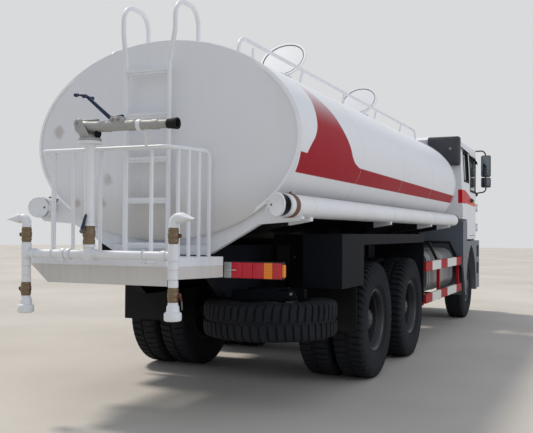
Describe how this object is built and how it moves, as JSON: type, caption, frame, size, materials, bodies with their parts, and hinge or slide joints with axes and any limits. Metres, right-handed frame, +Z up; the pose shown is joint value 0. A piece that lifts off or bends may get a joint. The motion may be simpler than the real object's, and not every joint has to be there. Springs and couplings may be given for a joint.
{
  "type": "water sprinkler tanker truck",
  "caption": "Cab-over sprinkler tanker with an oval tank, hinged manhole lids, rear platform, water cannon and spray pipes; wheels roll, steer and the cab tilts.",
  "frame": {"origin": "on the ground, under the middle of the overall length and width", "axes": "+X forward, +Y to the vehicle's left, +Z up"},
  "size_m": [10.18, 2.86, 3.5585],
  "materials": {
    "white_paint": "gloss paint, dusty",
    "cab_paint": "gloss paint",
    "chassis_black": "satin paint, dusty",
    "grey_moulding": "moulded, matt",
    "tank_grey": "satin paint",
    "guard_red": "gloss paint",
    "lamp_plastic": "clear coloured lens",
    "glass": "tinted safety glass",
    "cast_aluminium": "cast, dull",
    "seat_fabric": "woven",
    "cab_plastic": "moulded, matt",
    "tyre": "rubber, dusty"
  },
  "bodies": {
    "chassis": {"battery_box": "tank_grey", "chassis_rails": "chassis_black", "cross_members": "chassis_black", "engine_block": "chassis_black", "front_axle": "chassis_black", "front_bumper": "grey_moulding", "front_fenders": "grey_moulding", "fuel_tank": "tank_grey", "hose_brackets": "white_paint", "hose_tubes": "white_paint", "ladder": "white_paint", "lamps": "lamp_plastic", "leaf_springs": "chassis_black", "manhole_necks": "white_paint", "railing": "white_paint", "rear_axles": "chassis_black", "rear_fenders": "chassis_black", "rear_pipes": "white_paint", "rear_platform": "white_paint", "rear_saddle": "white_paint", "side_guards": "guard_red", "spare_wheel": "tyre", "tank": "white_paint", "tank_saddles": "chassis_black", "top_rails": "white_paint"},
    "knuckle_left": {"knuckle_left": "chassis_black"},
    "knuckle_right": {"knuckle_right": "chassis_black"},
    "tie_rod": {"tie_rod": "chassis_black"},
    "front_wheel_left": {"front_wheel_left": "tyre"},
    "front_wheel_right": {"front_wheel_right": "tyre"},
    "middle_wheels_left": {"middle_wheels_left": "tyre"},
    "middle_wheels_right": {"middle_wheels_right": "tyre"},
    "rear_wheels_left": {"rear_wheels_left": "tyre"},
    "rear_wheels_right": {"rear_wheels_right": "tyre"},
    "cab": {"cab_roof": "cab_paint", "cab_rear_wall": "cab_paint", "cab_front": "cab_paint", "cab_floor": "cab_paint", "cab_sides": "cab_paint", "cab_glass": "glass", "seats": "seat_fabric", "dashboard": "cab_plastic", "mirrors": "cab_plastic", "air_intake": "cab_plastic"},
    "door_left": {"door_left": "cab_paint", "door_glass_left": "glass"},
    "door_right": {"door_right": "cab_paint", "door_glass_right": "glass"},
    "manhole_lid_rear": {"manhole_lid_rear": "white_paint"},
    "manhole_lid_front": {"manhole_lid_front": "white_paint"},
    "hose_cap_left": {"hose_cap_left": "white_paint"},
    "hose_cap_right": {"hose_cap_right": "white_paint"},
    "cannon_swivel": {"cannon_swivel": "cast_aluminium"},
    "cannon_barrel": {"cannon_barrel": "cast_aluminium"}
  },
  "joints": [
    {"name": "steer_left", "type": "hinge", "parent": "chassis", "child": "knuckle_left", "pos_m": [3.655, 0.78, 0.545], "axis": [0, 0, 1], "range_deg": [-35, 35]},
    {"name": "steer_right", "type": "hinge", "parent": "chassis", "child": "knuckle_right", "pos_m": [3.655, -0.78, 0.545], "axis": [0, 0, 1], "range_deg": [-35, 35]},
    {"name": "tie_rod_pivot", "type": "hinge", "parent": "knuckle_left", "child": "tie_rod", "pos_m": [3.475, 0.78, 0.44], "axis": [0, 0, 1], "range_deg": [-35, 35]},
    {"name": "front_wheel_left_spin", "type": "hinge", "parent": "knuckle_left", "child": "front_wheel_left", "pos_m": [3.655, 0.99, 0.5625], "axis": [0, 1, 0], "continuous": true},
    {"name": "front_wheel_right_spin", "type": "hinge", "parent": "knuckle_right", "child": "front_wheel_right", "pos_m": [3.655, -0.99, 0.5625], "axis": [0, 1, 0], "continuous": true},
    {"name": "middle_wheels_left_spin", "type": "hinge", "parent": "chassis", "child": "middle_wheels_left", "pos_m": [-0.845, 0.93, 0.5625], "axis": [0, 1, 0], "continuous": true},
    {"name": "middle_wheels_right_spin", "type": "hinge", "parent": "chassis", "child": "middle_wheels_right", "pos_m": [-0.845, -0.93, 0.5625], "axis": [0, 1, 0], "continuous": true},
    {"name": "rear_wheels_left_spin", "type": "hinge", "parent": "chassis", "child": "rear_wheels_left", "pos_m": [-2.295, 0.93, 0.5625], "axis": [0, 1, 0], "continuous": true},
    {"name": "rear_wheels_right_spin", "type": "hinge", "parent": "chassis", "child": "rear_wheels_right", "pos_m": [-2.295, -0.93, 0.5625], "axis": [0, 1, 0], "continuous": true},
    {"name": "cab_tilt", "type": "hinge", "parent": "chassis", "child": "cab", "pos_m": [4.905, 0, 0.98], "axis": [0, 1, 0], "range_deg": [0, 55]},
    {"name": "door_left_hinge", "type": "hinge", "parent": "cab", "child": "door_left", "pos_m": [4.505, 1.172, 1.7], "axis": [0, 0, -1], "range_deg": [0, 68]},
    {"name": "door_right_hinge", "type": "hinge", "parent": "cab", "child": "door_right", "pos_m": [4.505, -1.172, 1.7], "axis": [0, 0, 1], "range_deg": [0, 68]},
    {"name": "manhole_lid_rear_hinge", "type": "hinge", "parent": "chassis", "child": "manhole_lid_rear", "pos_m": [-1.91, 0, 3.086], "axis": [0, -1, 0], "range_deg": [0, 125]},
    {"name": "manhole_lid_front_hinge", "type": "hinge", "parent": "chassis", "child": "manhole_lid_front", "pos_m": [0.96, 0, 3.086], "axis": [0, -1, 0], "range_deg": [0, 125]},
    {"name": "hose_cap_left_hinge", "type": "hinge", "parent": "chassis", "child": "hose_cap_left", "pos_m": [-4.374, 1.051, 1.61], "axis": [0, 0, 1], "range_deg": [-25, 75]},
    {"name": "hose_cap_right_hinge", "type": "hinge", "parent": "chassis", "child": "hose_cap_right", "pos_m": [-4.534, -1.051, 1.61], "axis": [0, 0, -1], "range_deg": [-25, 75]},
    {"name": "cannon_turn", "type": "hinge", "parent": "chassis", "child": "cannon_swivel", "pos_m": [-5.005, 0.17, 2.07], "axis": [0, 0, -1], "range_deg": [0, 180]},
    {"name": "cannon_nod", "type": "hinge", "parent": "cannon_swivel", "child": "cannon_barrel", "pos_m": [-5.005, 0.235, 2.195], "axis": [-1, 0, 0], "range_deg": [0, 65]}
  ],
  "couplings": [
    {"joint": "steer_right", "follows": "steer_left", "ratio": 1},
    {"joint": "tie_rod_pivot", "follows": "steer_left", "ratio": -1}
  ]
}
